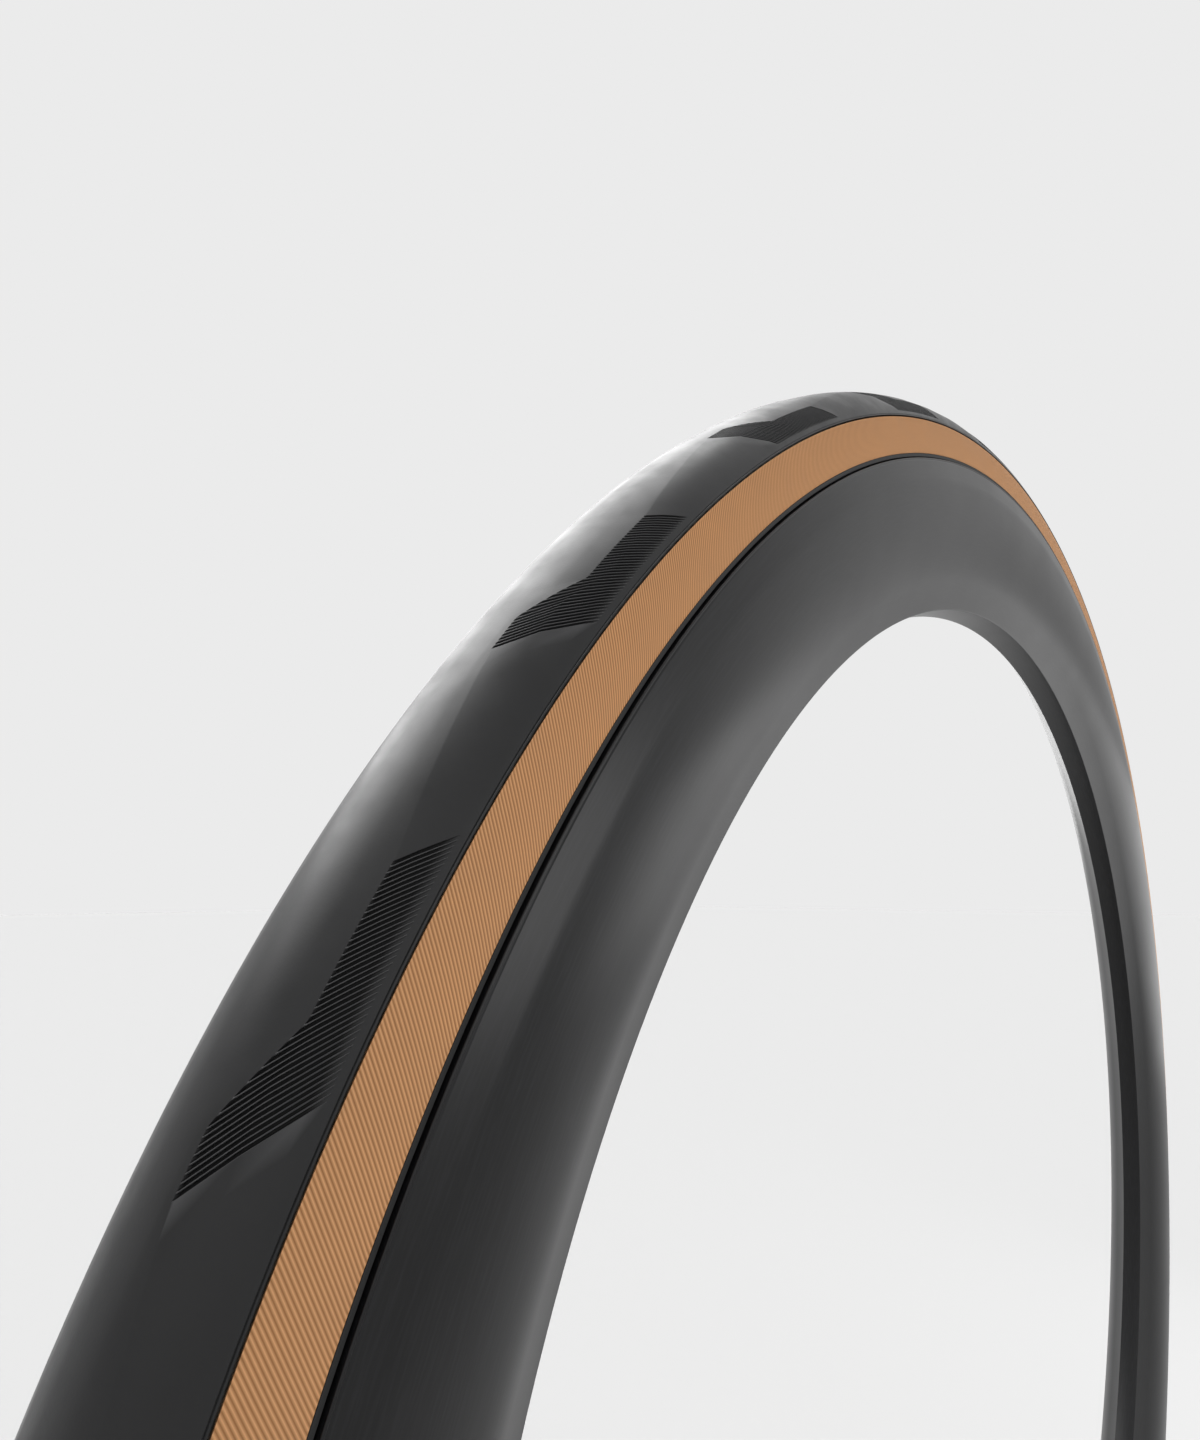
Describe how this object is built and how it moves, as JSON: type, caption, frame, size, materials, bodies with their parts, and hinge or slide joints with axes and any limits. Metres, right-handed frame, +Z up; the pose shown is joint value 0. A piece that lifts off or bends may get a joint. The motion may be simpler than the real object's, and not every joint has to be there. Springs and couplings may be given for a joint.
{
  "type": "bicycle tire on rim",
  "caption": "Tubeless-ready road bicycle tire with grooved shoulders and tan sidewalls, mounted and inflated on a deep hollow rim with its valve, lock nut and cap.",
  "frame": {"origin": "centre of the wheel: on the axle's line, in the middle plane of tyre and rim", "axes": "+Y along the axle, +Z up, the valve at the bottom and pointing up at the centre"},
  "size_m": [0.6752, 0.0324, 0.6752],
  "materials": {
    "tread_rubber": "matte black rubber",
    "tan_rubber": "ribbed tan rubber",
    "chafer_rubber": "matte black rubber",
    "casing_fabric": "rubberised fabric",
    "aramid": "aramid cord",
    "rim_composite": "satin black fibre composite",
    "tape_film": "thin adhesive film",
    "black_alloy": "black anodised",
    "core_brass": "nickel-plated brass",
    "seal_rubber": "soft black rubber",
    "cap_plastic": "moulded black plastic"
  },
  "bodies": {
    "wheel": {"tread": "tread_rubber", "puncture_belt": "aramid", "casing_ply": "casing_fabric", "sidewall_left": "tan_rubber", "sidewall_right": "tan_rubber", "chafer_left": "chafer_rubber", "chafer_right": "chafer_rubber", "bead_core_left": "aramid", "bead_core_right": "aramid", "rim": "rim_composite", "rim_tape": "tape_film", "valve_stem": "black_alloy", "valve_gasket": "seal_rubber", "valve_o_ring": "seal_rubber", "valve_core": "core_brass", "core_seal": "seal_rubber", "core_pin": "core_brass"},
    "cap": {"valve_cap": "cap_plastic"},
    "lock_nut": {"valve_lock_nut": "black_alloy"},
    "needle_nut": {"core_nut": "core_brass"}
  },
  "joints": [
    {"name": "cap_off", "type": "slide", "parent": "wheel", "child": "cap", "axis": [0, 0, 1], "range_m": [0, 0.025]},
    {"name": "lock_nut_run", "type": "slide", "parent": "wheel", "child": "lock_nut", "axis": [0, 0, 1], "range_m": [0, 0.008]},
    {"name": "needle_nut_undo", "type": "slide", "parent": "wheel", "child": "needle_nut", "axis": [0, 0, 1], "range_m": [0, 0.003]}
  ]
}
